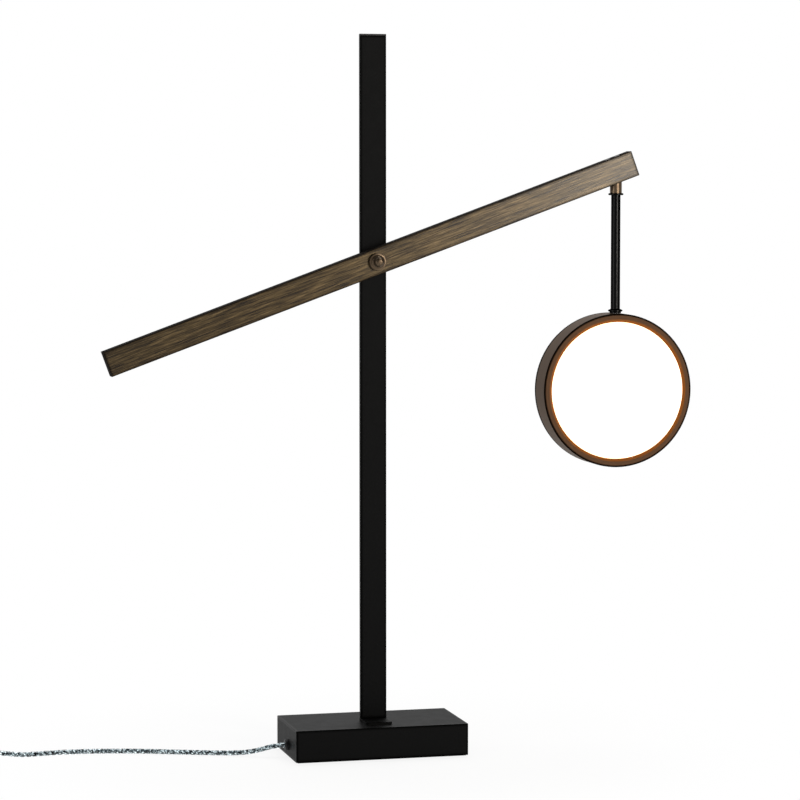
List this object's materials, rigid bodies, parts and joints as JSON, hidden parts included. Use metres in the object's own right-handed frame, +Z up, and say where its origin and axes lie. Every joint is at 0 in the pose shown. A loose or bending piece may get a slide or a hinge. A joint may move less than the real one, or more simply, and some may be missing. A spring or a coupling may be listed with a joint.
{
  "type": "table lamp",
  "caption": "Table lamp with a slim column on a block base, a tilting balance arm and a round light head hanging from its nose on a drop rod.",
  "frame": {"origin": "middle of the base pad's underside, on the table", "axes": "+X along the base towards the head, +Y to the back, +Z up along the column"},
  "size_m": [0.8347, 0.113, 0.7],
  "materials": {
    "black_metal": "satin",
    "bronze_brushed": "brushed satin",
    "bronze_painted": "satin",
    "black_aluminium": "satin",
    "bronze_turned": "satin",
    "brass_pin": "satin",
    "steel": "plated",
    "cast_weight": "rough",
    "aluminium": "mill",
    "black_plastic": "matt",
    "white_plastic": "matt",
    "diffuser_opal": "opal, lit",
    "cord_clear": "clear over strands",
    "felt": "felt",
    "wire_copper": "insulated"
  },
  "bodies": {
    "stand": {"base_shell": "black_metal", "column": "black_metal", "column_foot": "black_metal", "friction_washer": "black_metal", "plug_prongs": "brass_pin", "base_plate": "steel", "base_plate_screws": "steel", "foot_nuts": "steel", "pivot_bolt": "steel", "knob_washer": "steel", "rocker_pin": "steel", "switch_screws": "steel", "base_weight": "cast_weight", "cord_gland": "black_plastic", "gland_nut": "black_plastic", "column_cap": "black_plastic", "led_driver": "black_plastic", "switch_base": "black_plastic", "switch_cover": "black_plastic", "plug_body": "black_plastic", "prong_sleeves": "black_plastic", "cord_lead": "cord_clear", "cord_mid": "cord_clear", "cord_coil": "cord_clear", "cord_tail": "cord_clear", "base_pad": "felt", "mains_leads": "wire_copper", "column_wire": "wire_copper"},
    "arm": {"arm_tube": "bronze_brushed", "arm_tail_cap": "bronze_brushed", "arm_nose_cap": "bronze_brushed", "counterweight": "steel", "counterweight_screw": "steel", "pivot_bush": "black_plastic", "pivot_magnet": "steel", "hanger_yoke": "steel", "yoke_screws": "steel", "hanger_pin": "brass_pin", "arm_wire": "wire_copper"},
    "rod": {"hanger_stub": "brass_pin", "rod_flange": "black_aluminium", "drop_rod": "black_aluminium", "rod_collar": "black_aluminium", "swivel_stud": "steel", "swivel_nut": "steel", "rod_wire": "wire_copper"},
    "head": {"head_housing": "bronze_painted", "head_bezel": "bronze_painted", "diffuser": "diffuser_opal", "light_reflector": "white_plastic", "led_board": "white_plastic", "led_chips": "white_plastic", "heat_plate": "aluminium", "head_screws": "steel", "swivel_bush": "black_plastic", "head_wire": "wire_copper"},
    "knob": {"tension_knob": "bronze_turned"},
    "rocker": {"switch_rocker": "black_plastic"}
  },
  "joints": [
    {"name": "arm_tilt", "type": "hinge", "parent": "stand", "child": "arm", "pos_m": [0, -0.0152, 0.481], "axis": [0, -1, 0], "range_deg": [-42, 20]},
    {"name": "rod_hang", "type": "hinge", "parent": "arm", "child": "rod", "pos_m": [0.24347, -0.0152, 0.56962], "axis": [0, 1, 0], "range_deg": [-42, 20]},
    {"name": "head_swivel", "type": "hinge", "parent": "rod", "child": "head", "pos_m": [0.24347, -0.0152, 0.43], "axis": [0, 0, 1], "range_deg": [-170, 170]},
    {"name": "knob_turn", "type": "hinge", "parent": "stand", "child": "knob", "pos_m": [0, -0.0237, 0.481], "axis": [0, -1, 0], "range_deg": [-30, 330]},
    {"name": "switch_rock", "type": "hinge", "parent": "stand", "child": "rocker", "pos_m": [-0.403, 0.05, 0.0118], "axis": [0, 1, 0], "range_deg": [0, 16]}
  ]
}
